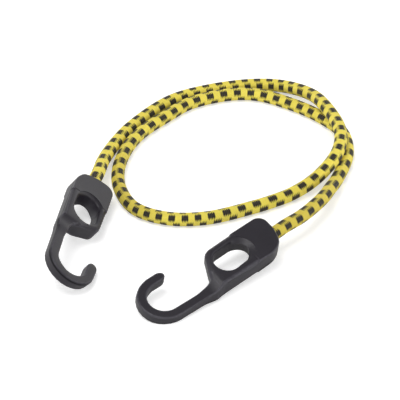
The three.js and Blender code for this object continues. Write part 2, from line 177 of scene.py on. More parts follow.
def tube_tree():
    """Geometry nodes: a round tube that follows the route, set off from it for a strand, and marked with the
    angle round it for the braid."""
    tree = bpy.data.node_groups.new("tube_along_cord", "GeometryNodeTree")
    add_input(tree, "Route", "NodeSocketGeometry")
    add_input(tree, "Diameter", "NodeSocketFloat", CORD_DIAMETER)
    add_input(tree, "Offset", "NodeSocketFloat", 0.0)
    add_input(tree, "Offset Angle", "NodeSocketFloat", 0.0)
    add_input(tree, "Sides", "NodeSocketInt", COVER_SIDES)
    add_input(tree, "Level Seam", "NodeSocketBool", True)
    add_input(tree, "Capped", "NodeSocketBool", False)
    add_input(tree, "Finish", "NodeSocketMaterial")
    tree.interface.new_socket("Tube", in_out="OUTPUT", socket_type="NodeSocketGeometry")
    given = tree.nodes.new("NodeGroupInput").outputs
    line = add_node(tree, "GeometryNodeMeshToCurve", "route as a curve", i0=given["Route"]).outputs[0]
    level = add_node(tree, "GeometryNodeSetCurveNormal", "seam kept level", (("mode", "Z_UP"),), Curve=line)
    free = add_node(tree, "GeometryNodeSetCurveNormal", "least twist", (("mode", "MINIMUM_TWIST"),),
                    Curve=line)
    either = {"False": free.outputs[0], "True": level.outputs[0]}
    line = add_node(tree, "GeometryNodeSwitch", "which seam", (("input_type", "GEOMETRY"),),
                    Switch=given["Level Seam"], **either).outputs[0]
    radius = maths(tree, "DIVIDE", given["Diameter"], 2.0, label="radius")
    circle = add_node(tree, "GeometryNodeCurvePrimitiveCircle", "section",
                      Resolution=given["Sides"], Radius=radius).outputs[0]
    factor = add_node(tree, "GeometryNodeSplineParameter").outputs["Factor"]
    angle = maths(tree, "MULTIPLY", factor, 2 * math.pi, label="angle round the tube")
    kept = add_node(tree, "GeometryNodeCaptureAttribute", "keep the angle", Geometry=circle)
    kept.capture_items.new("FLOAT", "Angle")
    tree.links.new(angle, kept.inputs["Angle"])
    along = maths(tree, "MULTIPLY", given["Offset"], maths(tree, "COSINE", given["Offset Angle"]))
    aside = maths(tree, "MULTIPLY", given["Offset"], maths(tree, "SINE", given["Offset Angle"]))
    shift = add_node(tree, "ShaderNodeCombineXYZ", "strand's place", X=along, Y=aside).outputs[0]
    section = add_node(tree, "GeometryNodeTransform", "section in place",
                       Geometry=kept.outputs["Geometry"], Translation=shift).outputs[0]
    tube = add_node(tree, "GeometryNodeCurveToMesh", "tube",
                    Curve=line, Profile_Curve=section, Fill_Caps=given["Capped"]).outputs[0]
    laid = add_node(tree, "GeometryNodeInputNamedAttribute", "twist of the sleeve", (("data_type", "FLOAT"),),
                    Name="twist").outputs["Attribute"]
    top = maths(tree, "ADD", kept.outputs["Angle"], math.pi / 2, label="angle from the top")
    turn = maths(tree, "SUBTRACT", top, laid, label="angle from the first row")
    around = add_node(tree, "ShaderNodeCombineXYZ", "angle as a direction", X=maths(tree, "COSINE", turn),
                      Y=maths(tree, "SINE", turn)).outputs[0]
    marked = add_node(tree, "GeometryNodeStoreNamedAttribute", "mark the angle",
                      (("data_type", "FLOAT_VECTOR"), ("domain", "POINT")),
                      Geometry=tube, Name="around", Value=around).outputs[0]
    smooth = add_node(tree, "GeometryNodeSetShadeSmooth", "round shading", Geometry=marked).outputs[0]
    whole = add_node(tree, "GeometryNodeRealizeInstances", Geometry=smooth).outputs[0]
    finished = add_node(tree, "GeometryNodeSetMaterial", Geometry=whole, Material=given["Finish"]).outputs[0]
    tree.links.new(finished, tree.nodes.new("NodeGroupOutput").inputs[0])
    return tree


TUBE = tube_tree()


def as_plain_mesh(piece):
    """Turns what the piece's modifiers make into its own plain mesh, and removes them."""
    graph = bpy.context.evaluated_depsgraph_get()
    mesh = bpy.data.meshes.new_from_object(piece.evaluated_get(graph), preserve_all_data_layers=True,
                                           depsgraph=graph)
    piece.modifiers.clear()
    piece.data = mesh
    mesh.name = piece.name


def tube_piece(name, material, values, wall=None):
    """One tube along the route as a plain mesh, hollow if it has a wall."""
    piece = bpy.data.objects.new(name, route_mesh.copy())
    bpy.context.scene.collection.objects.link(piece)
    nodes = piece.modifiers.new("tube", "NODES")
    nodes.node_group = TUBE
    given = {**values, "Finish": material}
    for socket in TUBE.interface.items_tree:
        if socket.in_out == "INPUT" and socket.name in given:
            nodes[socket.identifier] = given[socket.name]
    if wall:
        hollow = piece.modifiers.new("wall", "SOLIDIFY")
        hollow.thickness = wall
        hollow.offset = -1
    bpy.context.view_layer.update()
    as_plain_mesh(piece)
    return piece


def fibre_fuzz_group():
    """Shader group: the fine grain and the broad patches of fibres, matt rubber or moulded plastic, each as a
    value round one half."""
    tree = bpy.data.node_groups.new("fibre_fuzz", "ShaderNodeTree")
    add_input(tree, "Grain per Metre", "NodeSocketFloat", 5000.0)
    add_input(tree, "Patches per Metre", "NodeSocketFloat", 60.0)
    for name in ("Grain", "Patches"):
        tree.interface.new_socket(name, in_out="OUTPUT", socket_type="NodeSocketFloat")
    given = tree.nodes.new("NodeGroupInput").outputs
    place = tree.nodes.new("ShaderNodeTexCoord").outputs["Object"]
    out = tree.nodes.new("NodeGroupOutput")
    for name, key, detail in (("Grain", "Grain per Metre", 3.0), ("Patches", "Patches per Metre", 4.0)):
        noise = add_node(tree, "ShaderNodeTexNoise", name, Vector=place, Scale=given[key], Detail=detail)
        tree.links.new(noise.outputs[0], out.inputs[name])
    return tree


FIBRE_FUZZ = fibre_fuzz_group()

# How sharply the gaps between a check's yarns end, how much yellow they let through, and how sharply the
# shimmer of the black yarns beside a check ends
GAP_SHARPNESS = 5.0
GAP_YELLOW = 0.06
SHIMMER_SHARPNESS = 7.0


def check_row_group():
    """Shader group: one row of black checks. Across the row a check ends in teeth, where single yarns dip
    under their neighbours; along it, it ends straight."""
    tree = bpy.data.node_groups.new("check_row", "ShaderNodeTree")
    for name in ("Turn", "Checks", "Row Turn", "Row Phase", "Half Width", "Half Length", "Tooth",
                 "Teeth per Check", "Softness"):
        add_input(tree, name, "NodeSocketFloat", 0.0)
    for name in ("Check", "Hoop"):
        tree.interface.new_socket(name, in_out="OUTPUT", socket_type="NodeSocketFloat")
    given = tree.nodes.new("NodeGroupInput").outputs
    out = tree.nodes.new("NodeGroupOutput")
    aside = maths(tree, "WRAP", maths(tree, "SUBTRACT", given["Turn"], given["Row Turn"]), 0.5, -0.5)
    aside = maths(tree, "ABSOLUTE", aside, label="turn from the row")
    along = maths(tree, "WRAP", maths(tree, "SUBTRACT", given["Checks"], given["Row Phase"]), 0.5, -0.5)
    along = maths(tree, "ABSOLUTE", along, label="distance from the check")
    teeth = maths(tree, "PINGPONG", maths(tree, "MULTIPLY", given["Checks"], given["Teeth per Check"]), 0.5)
    reach = maths(tree, "MULTIPLY_ADD", teeth, given["Tooth"], given["Half Width"], label="toothed side")
    soft = given["Softness"]
    side = maths(tree, "DIVIDE", maths(tree, "SUBTRACT", reach, aside), soft, clamp=True)
    end = maths(tree, "DIVIDE", maths(tree, "SUBTRACT", given["Half Length"], along),
                maths(tree, "MULTIPLY", soft, 2.0), clamp=True)
    gap = maths(tree, "SUBTRACT", 1.0, maths(tree, "MULTIPLY", teeth, GAP_SHARPNESS), clamp=True,
                label="gap between yarns")
    closed = maths(tree, "MULTIPLY_ADD", gap, -GAP_YELLOW, 1.0)
    check = maths(tree, "MULTIPLY", maths(tree, "MULTIPLY", side, end), closed, label="check")
    tree.links.new(check, out.inputs["Check"])
    spill = maths(tree, "SUBTRACT", 1.0, maths(tree, "MULTIPLY", aside, SHIMMER_SHARPNESS), clamp=True)
    tree.links.new(maths(tree, "MULTIPLY", spill, end, label="hoop"), out.inputs["Hoop"])
    return tree


CHECK_ROW = check_row_group()
YARN_ROUNDNESS = 0.6


def yarn_group():
    """Shader group: the diamond braid itself, two families of yarn that wind round the cord both ways, each
    over one and under one. It gives their relief and which yarn lies on top."""
    tree = bpy.data.node_groups.new("braid_yarns", "ShaderNodeTree")
    for name in ("Turn", "Checks", "Yarns Round", "Yarns per Check"):
        add_input(tree, name, "NodeSocketFloat", 0.0)
    for name in ("Relief", "Groove", "Yarn"):
        tree.interface.new_socket(name, in_out="OUTPUT", socket_type="NodeSocketFloat")
    given = tree.nodes.new("NodeGroupInput").outputs
    out = tree.nodes.new("NodeGroupOutput")
    hoop = maths(tree, "MULTIPLY", given["Turn"], given["Yarns Round"])
    length = maths(tree, "MULTIPLY", given["Checks"], given["Yarns per Check"])
    families = [maths(tree, "ADD", hoop, length, label="left-hand yarns"),
                maths(tree, "SUBTRACT", hoop, length, label="right-hand yarns")]
    ridges = [maths(tree, "SINE", maths(tree, "MULTIPLY", maths(tree, "FRACT", family), math.pi))
              for family in families]
    numbers = [maths(tree, "FLOOR", family) for family in families]
    over = maths(tree, "MODULO", maths(tree, "ABSOLUTE", maths(tree, "ADD", *numbers)), 2.0,
                 label="over or under")
    top = maths(tree, "ADD", maths(tree, "MULTIPLY", over, ridges[0]),
                maths(tree, "MULTIPLY", maths(tree, "SUBTRACT", 1.0, over), ridges[1]))
    relief = maths(tree, "POWER", top, YARN_ROUNDNESS, label="rounded yarn")
    tree.links.new(relief, out.inputs["Relief"])
    tree.links.new(maths(tree, "SUBTRACT", 1.0, relief), out.inputs["Groove"])
    cell = add_node(tree, "ShaderNodeCombineXYZ", X=numbers[0], Y=numbers[1], Z=over).outputs[0]
    tint = add_node(tree, "ShaderNodeTexWhiteNoise", "each yarn's own tint", Vector=cell).outputs[0]
    tree.links.new(tint, out.inputs["Yarn"])
    return tree


BRAID_YARNS = yarn_group()


def linear(red, green, blue):
    """A colour given as it is seen on a screen, 0 to 255, for a shader socket, by the sRGB curve."""
    seen = (red, green, blue)
    return tuple(((c / 255 + 0.055) / 1.055) ** 2.4 if c > 10 else c / 3294.6 for c in seen) + (1.0,)


def new_material(name, **plain):
    """A material with its Principled shader's plain values set; returns the material, tree and shader."""
    material = bpy.data.materials.new(name)
    material.use_nodes = True
    shader = material.node_tree.nodes["Principled BSDF"]
    for key, value in plain.items():
        shader.inputs[key.replace("_", " ")].default_value = value
    return material, material.node_tree, shader


def grouped(tree, label, group, **inputs):
    """The outputs of a shader group, as a node with its inputs set or linked."""
    return add_node(tree, "ShaderNodeGroup", label, (("node_tree", group),), **inputs).outputs


def mesh_mark(tree, name, label, output="Fac"):
    """A mark that is stored on the mesh, read in a material."""
    return add_node(tree, "ShaderNodeAttribute", label, (("attribute_name", name),)).outputs[output]


def mixed(tree, factor, first, second, label=None):
    """The result of a colour Mix node."""
    node = add_node(tree, "ShaderNodeMix", label, (("data_type", "RGBA"),), i0=factor, i6=first, i7=second)
    return node.outputs[2]


# Turn of each row of checks round the cord in degrees, and how far its checks lag behind the first row's
CHECK_ROWS = [(0, 0.0), (76, 0.19), (151, 0.47), (217, 0.55), (284, 0.64)]
# A check's half width, the length of its teeth and the softness of its rim as shares of a turn, and its half
# length as a share of the pitch
CHECK_SIZE = {"Half_Width": 0.05, "Half_Length": 0.265, "Tooth": 0.14, "Softness": 0.008}
YARNS_ROUND = 16.0
YARNS_PER_CHECK = 9.0


def rows_of_checks(tree, turn, checks):
    """All rows of checks together: where black yarns surface, and where they shimmer through the yellow."""
    check, hoop = 0.0, 0.0
    for number, (degrees, phase) in enumerate(CHECK_ROWS, 1):
        row = grouped(tree, f"row {number} of checks", CHECK_ROW, Turn=turn, Checks=checks,
                      Row_Turn=degrees / 360, Row_Phase=phase, Teeth_per_Check=YARNS_PER_CHECK, **CHECK_SIZE)
        check = maths(tree, "MAXIMUM", check, row["Check"])
        hoop = maths(tree, "MAXIMUM", hoop, row["Hoop"])
    return check, hoop


# Yellow yarn, with how much each effect shows in it. Its grooves are painted darker, as painted shade
YELLOW, YELLOW_GROOVE_SHADE, GROOVE_SHADE_SHOWS = linear(249, 234, 93), linear(205, 170, 36), 0.65
PALE_YARN, PALE_YARN_SHOWS = linear(246, 234, 140), 0.16
BLACK_BENEATH, BLACK_BENEATH_SHOWS = linear(96, 100, 44), 0.14
HANDLED, HANDLED_GROWS, HANDLED_FROM = linear(222, 192, 66), 0.5, -0.16
# Painted shade: a darker, more orange yellow for the cord where it lies in shade
CORD_PAINTED_SHADE = linear(154, 126, 22)
# Painted shade, by checks passed: it comes in towards hook B, where the hook's block shades the cord, and on
# a stretch near the middle of the cord
HOOK_B_SHADE_STARTS, HOOK_B_SHADE_IS_FULL, HOOK_B_SHADE_SHOWS = 71.0, 78.0, 0.36
SHADED_MIDDLE, SHADED_MIDDLE_FADES, SHADED_MIDDLE_SHOWS = 47.5, 0.17, 0.34


def yellow_yarn(tree, yarns, fuzz, hoop, checks):
    """The yellow yarn's colour: painted shade in its grooves, tinted yarn by yarn, dirty in handled patches,
    and darker with painted shade towards hook B and on a stretch near the middle.
    """
    # Painted shade: the yellow yarn is darker in the grooves between yarns
    grooves = maths(tree, "MULTIPLY", yarns["Groove"], GROOVE_SHADE_SHOWS)
    yellow = mixed(tree, grooves, YELLOW, YELLOW_GROOVE_SHADE, "yellow yarn")
    tint = maths(tree, "MULTIPLY", yarns["Yarn"], PALE_YARN_SHOWS)
    yellow = mixed(tree, tint, yellow, PALE_YARN, "yarn tint")
    beneath = maths(tree, "MULTIPLY", hoop, BLACK_BENEATH_SHOWS)
    yellow = mixed(tree, beneath, yellow, BLACK_BENEATH, "black yarn beneath")
    patches = maths(tree, "MULTIPLY_ADD", fuzz["Patches"], HANDLED_GROWS, HANDLED_FROM, clamp=True)
    yellow = mixed(tree, patches, yellow, HANDLED, "handled patches")
    # Painted shade: the cord is darker towards hook B and on a stretch near the middle
    by_hook_b = add_node(tree, "ShaderNodeMapRange", "towards hook B", Value=checks, From_Min=HOOK_B_SHADE_STARTS,
                         From_Max=HOOK_B_SHADE_IS_FULL, To_Min=0.0, To_Max=HOOK_B_SHADE_SHOWS).outputs[0]
    off_middle = maths(tree, "SUBTRACT", checks, SHADED_MIDDLE)
    off_middle = maths(tree, "ABSOLUTE", off_middle, label="from the middle stretch")
    middle = maths(tree, "MULTIPLY_ADD", off_middle, -SHADED_MIDDLE_FADES, 1.0, clamp=True)
    middle = maths(tree, "MULTIPLY", middle, SHADED_MIDDLE_SHOWS)
    painted_shade = maths(tree, "MAXIMUM", by_hook_b, middle, label="painted shade stretches")
    return mixed(tree, painted_shade, yellow, CORD_PAINTED_SHADE, "painted shade on the cord")


# Black yarn, painted darker in its grooves as painted shade
BLACK, BLACK_GROOVE_SHADE = linear(32, 30, 34), linear(12, 12, 15)
STRAY_FIBRES, STRAY_FIBRES_SHOW = linear(120, 114, 84), 0.08
BRAID_ROUGHNESS, ROUGHER_BY_GRAIN = 0.6, 0.25
GRAIN_HEIGHT = 0.35


def braid_material():
    """Braided polyester: yellow yarn with rows of black checks, in relief with painted shade in its grooves,
    matt with a faint sheen.
    """
    material, tree, shader = new_material("braided_polyester", Specular_IOR_Level=0.3, Sheen_Weight=0.09,
                                          Sheen_Roughness=0.45, Sheen_Tint=linear(255, 250, 225))
    checks = mesh_mark(tree, "checks", "checks passed")
    around = mesh_mark(tree, "around", "angle round", "Vector")
    parts = add_node(tree, "ShaderNodeSeparateXYZ", Vector=around).outputs
    turn = maths(tree, "DIVIDE", maths(tree, "ARCTAN2", parts["Y"], parts["X"]), 2 * math.pi, label="turn")
    check, hoop = rows_of_checks(tree, turn, checks)
    yarns = grouped(tree, "yarns", BRAID_YARNS, Turn=turn, Checks=checks, Yarns_Round=YARNS_ROUND,
                    Yarns_per_Check=YARNS_PER_CHECK)
    fuzz = grouped(tree, "fibres", FIBRE_FUZZ, Grain_per_Metre=9000.0, Patches_per_Metre=70.0)
    yellow = yellow_yarn(tree, yarns, fuzz, hoop, checks)
    # Painted shade: the black yarn is darker in its grooves
    black = mixed(tree, yarns["Relief"], BLACK_GROOVE_SHADE, BLACK, "black yarn")
    stray = maths(tree, "MULTIPLY", yarns["Yarn"], STRAY_FIBRES_SHOW)
    black = mixed(tree, stray, black, STRAY_FIBRES, "stray fibres")
    colour = mixed(tree, check, yellow, black, "checks in the yellow")
    tree.links.new(colour, shader.inputs["Base Color"])
    rough = maths(tree, "MULTIPLY_ADD", fuzz["Grain"], ROUGHER_BY_GRAIN, BRAID_ROUGHNESS, label="rough")
    tree.links.new(rough, shader.inputs["Roughness"])
    height = maths(tree, "MULTIPLY_ADD", fuzz["Grain"], GRAIN_HEIGHT, yarns["Relief"], label="height")
    bump = add_node(tree, "ShaderNodeBump", Strength=0.8, Distance=0.00022, Height=height).outputs[0]
    tree.links.new(bump, shader.inputs["Normal"])
    return material


cover = tube_piece("braided_sleeve", braid_material(),
                   {"Diameter": CORD_DIAMETER, "Sides": COVER_SIDES, "Level Seam": True}, COVER_WALL)
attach(cover, "cord")
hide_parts("braided_cover")

# Rubber strands: seven extruded latex threads, one in the middle and six round it, dusted with talc so that
# they slide in the sleeve. They carry the pull; the sleeve only limits it.
STRAND_DIAMETER = 0.0018
STRAND_REACH = 0.0021
STRAND_SIDES = 10
STRANDS_ROUND_THE_MIDDLE = 6
LATEX_ROUGHNESS, ROUGHER_BY_TALC = 0.5, 0.3


def rubber_material():
    """Cream latex, dusted unevenly with talc."""
    material, tree, shader = new_material("latex_rubber", Specular_IOR_Level=0.4)
    fuzz = grouped(tree, "talc", FIBRE_FUZZ, Grain_per_Metre=2500.0, Patches_per_Metre=120.0)
    colour = mixed(tree, fuzz["Patches"], linear(205, 184, 138), linear(233, 222, 196), "talc on latex")
    tree.links.new(colour, shader.inputs["Base Color"])
    rough = maths(tree, "MULTIPLY_ADD", fuzz["Patches"], ROUGHER_BY_TALC, LATEX_ROUGHNESS, label="rough")
    tree.links.new(rough, shader.inputs["Roughness"])
    bump = add_node(tree, "ShaderNodeBump", Strength=0.3, Distance=0.00005, Height=fuzz["Grain"]).outputs[0]
    tree.links.new(bump, shader.inputs["Normal"])
    return material


latex = rubber_material()
for number in range(1, 2 + STRANDS_ROUND_THE_MIDDLE):
    reach = 0.0 if number == 1 else STRAND_REACH
    turned = 2 * math.pi / STRANDS_ROUND_THE_MIDDLE * (number - 2)
    strand = tube_piece(f"rubber_strand_{number}", latex,
                        {"Diameter": STRAND_DIAMETER, "Sides": STRAND_SIDES, "Level Seam": False,
                         "Capped": True, "Offset": reach, "Offset Angle": turned})
    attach(strand, "cord")
    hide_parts(f"core_strand_{number}")

# Hooks: one injection moulding each, black glass-filled nylon with a fine satin grain. The mould halves meet
# low on the outer side, which leaves a shallow groove with a thin dark line painted along it as a painted
# dark reflection, and the raised edges are painted paler as a highlight and rubbed smoother. The CAD hook is
# taken
# over and filled out to the real moulding: heavier shank, longer tip, fuller heel and shoulder.

# How each hook lies: its x runs from the rear end to the bend, its y to the shank's outer side, and its z
# through its thickness. Its place, then its roll, pitch and yaw in degrees
HOOK_PLACES = {
    "hook_a": ((-0.0419, 0.0585, 0.01166), (140.3, -0.95, -99.2)),
    "hook_b": ((0.0615, 0.0031, 0.01278), (-14.6, 5.2, -139.6)),
}
# In the hook's own axes: the bend's centre and inner radius, the shank's width, from where along the hook a
# point can be the tip's, and the two centres of the finger hole's round ends, along the hook and across it
BEND_CENTRE = Vector((0.0784, -0.00245))
BEND_INNER_RADIUS = 0.00975
SHANK_WIDTH = 0.0055
TIP_FROM = 0.06
HOLE_REAR, HOLE_FRONT, HOLE_SIDEWAYS = 0.0255, 0.0337, -0.0003
# Stretches along the hook over which one form gives way to the next
TO_FRAME = (0.018, 0.024)
TO_SHANK = (0.046, 0.058)
TO_BEND = (0.06, 0.078)


def hook_stand(name):
    """How a hook stands, as the matrix from its own axes to the frame's."""
    place, turns = HOOK_PLACES[name]
    roll, pitch, yaw = (math.radians(angle) for angle in turns)
    return (Matrix.Translation(place) @ Matrix.Rotation(yaw, 4, "Z") @ Matrix.Rotation(pitch, 4, "Y")
            @ Matrix.Rotation(roll, 4, "X"))


def eased(value, start, end):
    """Rises smoothly from 0 at start to 1 at end."""
    share = min(1.0, max(0.0, (value - start) / (end - start)))
    return share * share * (3 - 2 * share)


def hump(value, middle, reach):
    """A smooth hump: 1 in the middle, a third at its reach, and almost nothing at twice its reach."""
    return math.exp(-(((value - middle) / reach) ** 2))


# By what shares the moulding is thicker than the CAD hook, above and under its middle plane
FRAME_THICKER = {"upper": 0.08, "under": 0.13}
SHANK_THICKER = {"upper": 0.1, "under": 0.42}
SHOULDER_THICKER = {"upper": 0.0, "under": 0.25}
THICK_SHOULDER_AT, THICK_SHOULDER_REACH = 0.0565, 0.004


def thicker_share(x, face):
    """By what share the moulding is thicker, at x along it."""
    in_frame, in_shank = eased(x, *TO_FRAME), eased(x, *TO_SHANK)
    share = FRAME_THICKER[face] * in_frame + (SHANK_THICKER[face] - FRAME_THICKER[face]) * in_shank
    return share + SHOULDER_THICKER[face] * hump(x, THICK_SHOULDER_AT, THICK_SHOULDER_REACH)


# Shank, bend and tip: they lie further out and are fuller inside the bend. Under the middle plane they are
# fuller on both sides, and the tip is longer by a share of its length.
BEND_FURTHER, SHANK_OUTWARD = 0.0004, 0.0003
BEND_INSIDE_FULLER, TO_BEND_INSIDE = 0.0003, (0.066, 0.076)
OUTSIDE_FULLER_UNDER = 0.0001
SHANK_INSIDE_FULLER_UNDER = 0.0004
TIP_OUTSIDE_FULLER_UNDER = 0.0005
TIP_LONGER_SHARE = 0.43


def shank_push(x, y, face):
    """How far a point of the shank, the bend or the tip moves, along and across the hook."""
    in_shank, in_bend = eased(x, *TO_SHANK), eased(x, *TO_BEND)
    push = Vector((BEND_FURTHER * in_bend, SHANK_OUTWARD * in_shank))
    spread = Vector((max(0.0, x - BEND_CENTRE.x), y - BEND_CENTRE.y))
    around = spread.normalized()
    outside = min(1.0, max(0.0, (spread.length - BEND_INNER_RADIUS) / SHANK_WIDTH))
    inside = 1 - outside
    on_tip = y < BEND_CENTRE.y and TIP_FROM < x < BEND_CENTRE.x
    push -= around * inside * BEND_INSIDE_FULLER * (1.0 if on_tip else eased(x, *TO_BEND_INSIDE))
    if face == "under":
        outer = OUTSIDE_FULLER_UNDER + TIP_OUTSIDE_FULLER_UNDER * max(0.0, -around.y)
        inner = SHANK_INSIDE_FULLER_UNDER if y > 0 else 0.0
        push += around * in_shank * (outside * outer - inside * inner)
    if on_tip:
        push.y -= SHANK_OUTWARD * in_shank
        push.x += BEND_FURTHER * (1 - in_bend) - (BEND_CENTRE.x - x) * TIP_LONGER_SHARE
    return push


# Block and frame: a fuller heel, shoulder and outer side, and a fuller notch on the inner side. The fillet in
# the corner between frame and shank is fuller too.
HEEL_SWELL, HEEL_SWELLS_TOWARDS = 0.0006, Vector((-1.0, 0.3))
HEEL_AT, HEEL_REACH = (0.003, 0.0085), (0.004, 0.0035)
SHOULDER_SWELL = {"upper": 0.0006, "under": 0.0013}
SHOULDER_AT, SHOULDER_REACH = 0.053, 0.0045
OUTER_SIDE_FULLER = {"upper": 0.0001, "under": 0.0006}
TO_OUTER_SIDE, TO_INNER_SIDE = (0.005, 0.012), (0.006, 0.011)
NOTCH_FULLER, NOTCH_AT, NOTCH_REACH = 0.0002, 0.0215, 0.003
FILLET_FULLER, FILLET_FROM, PAST_FILLET = 0.0013, 0.05, (0.053, 0.0635)
FILLET_INNER_EDGE, FILLET_OUTER_EDGE = (0.0055, 0.007), (0.008, 0.011)


def frame_push(x, y, face):
    """How far a point of the block, the frame, the shoulder or the inner fillet moves."""
    heel = HEEL_SWELL * hump(x, HEEL_AT[0], HEEL_REACH[0]) * hump(y, HEEL_AT[1], HEEL_REACH[1])
    push = HEEL_SWELLS_TOWARDS * heel
    shoulder = SHOULDER_SWELL[face] * hump(x, SHOULDER_AT, SHOULDER_REACH)
    side = OUTER_SIDE_FULLER[face] * eased(x, *TO_FRAME) * (1 - eased(x, *TO_SHANK))
    push.y += (shoulder + side) * eased(y, *TO_OUTER_SIDE)
    push.y -= NOTCH_FULLER * hump(x, NOTCH_AT, NOTCH_REACH) * eased(-y, *TO_INNER_SIDE)
    if x > FILLET_FROM:
        across = eased(y, *FILLET_INNER_EDGE) * (1 - eased(y, *FILLET_OUTER_EDGE))
        push.y -= FILLET_FULLER * (1 - eased(x, *PAST_FILLET)) * across
    return push


# Front wall: where it starts, along and across the hook, how far forward it slants for each metre across,
# over what length it begins, and how far it and its corners move
WALL_ALONG, WALL_ACROSS, WALL_SLANT, WALL_EASE = 0.0375, -0.0116, 0.57, 0.003
WALL_TO_SHANK = (0.053, 0.058)
FRONT_WALL_FULLER, FULLER_UNTIL = 0.0008, (0.0, 0.006)
INNER_CORNER_BACK, TO_INNER_CORNER = 0.0005, (0.0, 0.004)
FRONT_CORNER_FULLER, TO_FRONT_CORNER = 0.0005, (0.004, 0.009)


def front_wall_push(x, y, face):
    """How far a point of the slanted front wall moves."""
    wall_at = WALL_ALONG + WALL_SLANT * max(0.0, y - WALL_ACROSS)
    on_wall = eased(x, wall_at, wall_at + WALL_EASE) * (1 - eased(x, *WALL_TO_SHANK))
    if face == "upper":
        return Vector((FRONT_WALL_FULLER * (1 - eased(y, *FULLER_UNTIL)), 0.0)) * on_wall
    back = INNER_CORNER_BACK * eased(y, *TO_INNER_CORNER)
    aside = FRONT_CORNER_FULLER * eased(-y, *TO_FRONT_CORNER)
    return Vector((-back, -aside)) * on_wall


# Finger hole: tighter across and along, with a throat at its rear end and a wider lip on its upper side
HOLE_TIGHTER, TIGHTER_TO = 0.0005, 0.03
HOLE_SHORTER = 0.0004
ON_RIM, NEAR_RIM = (0.0083, 0.0099), (0.0083, 0.012)
TO_HOLE_REAR = (-0.1, 0.8)
TO_RIM_EDGE = (0.0036, 0.0046)
THROAT_TIGHTER = {"upper": 0.0022, "under": 0.001}
RIM_WIDER = {"upper": 0.0003, "under": 0.0}


def hole_middle(x):
    """The nearest point to x on the line between the two centres of the finger hole's round ends."""
    return Vector((min(HOLE_FRONT, max(HOLE_REAR, x)), HOLE_SIDEWAYS))


def finger_hole_push(x, y, z, face):
    """How far a point of the finger hole moves: the hole is tighter, with a throat at its rear end."""
    push = Vector((0.0, 0.0))
    from_middle = Vector((x, y)) - hole_middle(x)
    aim = from_middle.normalized()
    on_rim, near_rim = (1 - eased(from_middle.length, *reach) for reach in (ON_RIM, NEAR_RIM))
    if y < 0 or (x < TIGHTER_TO and face == "upper"):
        push.y -= aim.y * HOLE_TIGHTER * on_rim
    if x > HOLE_FRONT:
        push.x -= aim.x * HOLE_SHORTER * on_rim
    rear = eased(-aim.x, *TO_HOLE_REAR)
    deep = 1 - eased(abs(z), *TO_RIM_EDGE)
    outward = RIM_WIDER[face] * (1 - deep) * near_rim - THROAT_TIGHTER[face] * deep * on_rim
    return push + aim * rear * outward


def filled_out(place):
    """A point of the CAD hook, in the hook's own axes, moved to where the real moulding has it."""
    x, y, z = place
    face = "under" if z < 0 else "upper"
    push = (shank_push(x, y, face) + frame_push(x, y, face) + front_wall_push(x, y, face)
            + finger_hole_push(x, y, z, face))
    return Vector((x + push.x, y + push.y, z * (1 + thicker_share(x, face))))


# The mould line's height on the frame, how much higher it runs on the shank, what counts as outer side, and
# what all other corners are marked with. A face lies flat if its normal has more than this share through the
# hook's thickness.
LINE_ON_FRAME, LINE_RISES = -0.003, 0.0012
OUTER_SIDE_FROM, BEND_OUTSIDE_FROM = 0.0118, 0.0143
FAR_FROM_LINE = 0.002
FLAT_BY_LINE = 0.9


def mark_mould_line(shape, stand):
    """Marks each face corner of the outer side with its height over the line where the mould halves meet."""
    layer = shape.loops.layers.float.new("from_mould_line")
    to_own = stand.inverted()
    for face in shape.faces:
        lies_flat = abs((to_own.to_3x3() @ face.normal).z) > FLAT_BY_LINE
        for corner in face.loops:
            own = to_own @ corner.vert.co
            on_bend = own.x > TIP_FROM and (own.xy - BEND_CENTRE).length > BEND_OUTSIDE_FROM
            outside = own.y > OUTER_SIDE_FROM or on_bend
            height = own.z - LINE_ON_FRAME - LINE_RISES * eased(own.x, *TO_SHANK)
            corner[layer] = height if outside and not lies_flat else FAR_FROM_LINE


# The widest face that still rounds an edge, the angle at which an edge is fully raised, how far round the
# centres of the finger hole no edge is rubbed or painted with a highlight, and from what share through the
# thickness a face lies flat
NARROW_FACE = 0.0011
FULLY_RAISED = math.radians(40)
UNWORN_ROUND_HOLE = 0.0118
FLAT_BY_EDGE = 0.97


def mark_raised_edges(shape, stand):
    """Marks the narrow faces round the raised edges, for a painted highlight and rubbing, but not round the
    finger hole.
    """
    layer = shape.loops.layers.float.new("raised_edge")
    to_own = stand.inverted()
    for face in shape.faces:
        width = 2 * face.calc_area() / max(edge.calc_length() for edge in face.edges)
        lies_flat = abs((to_own.to_3x3() @ face.normal).z) > FLAT_BY_EDGE
        for corner in face.loops:
            own = to_own @ corner.vert.co
            off_hole = (own.xy - hole_middle(own.x)).length > UNWORN_ROUND_HOLE
            bends = [edge.calc_face_angle_signed(0) for edge in corner.vert.link_edges]
            raised = min(1.0, max(0.0, max(bends) / FULLY_RAISED))
            corner[layer] = raised if width < NARROW_FACE and off_hole and not lies_flat else 0.0


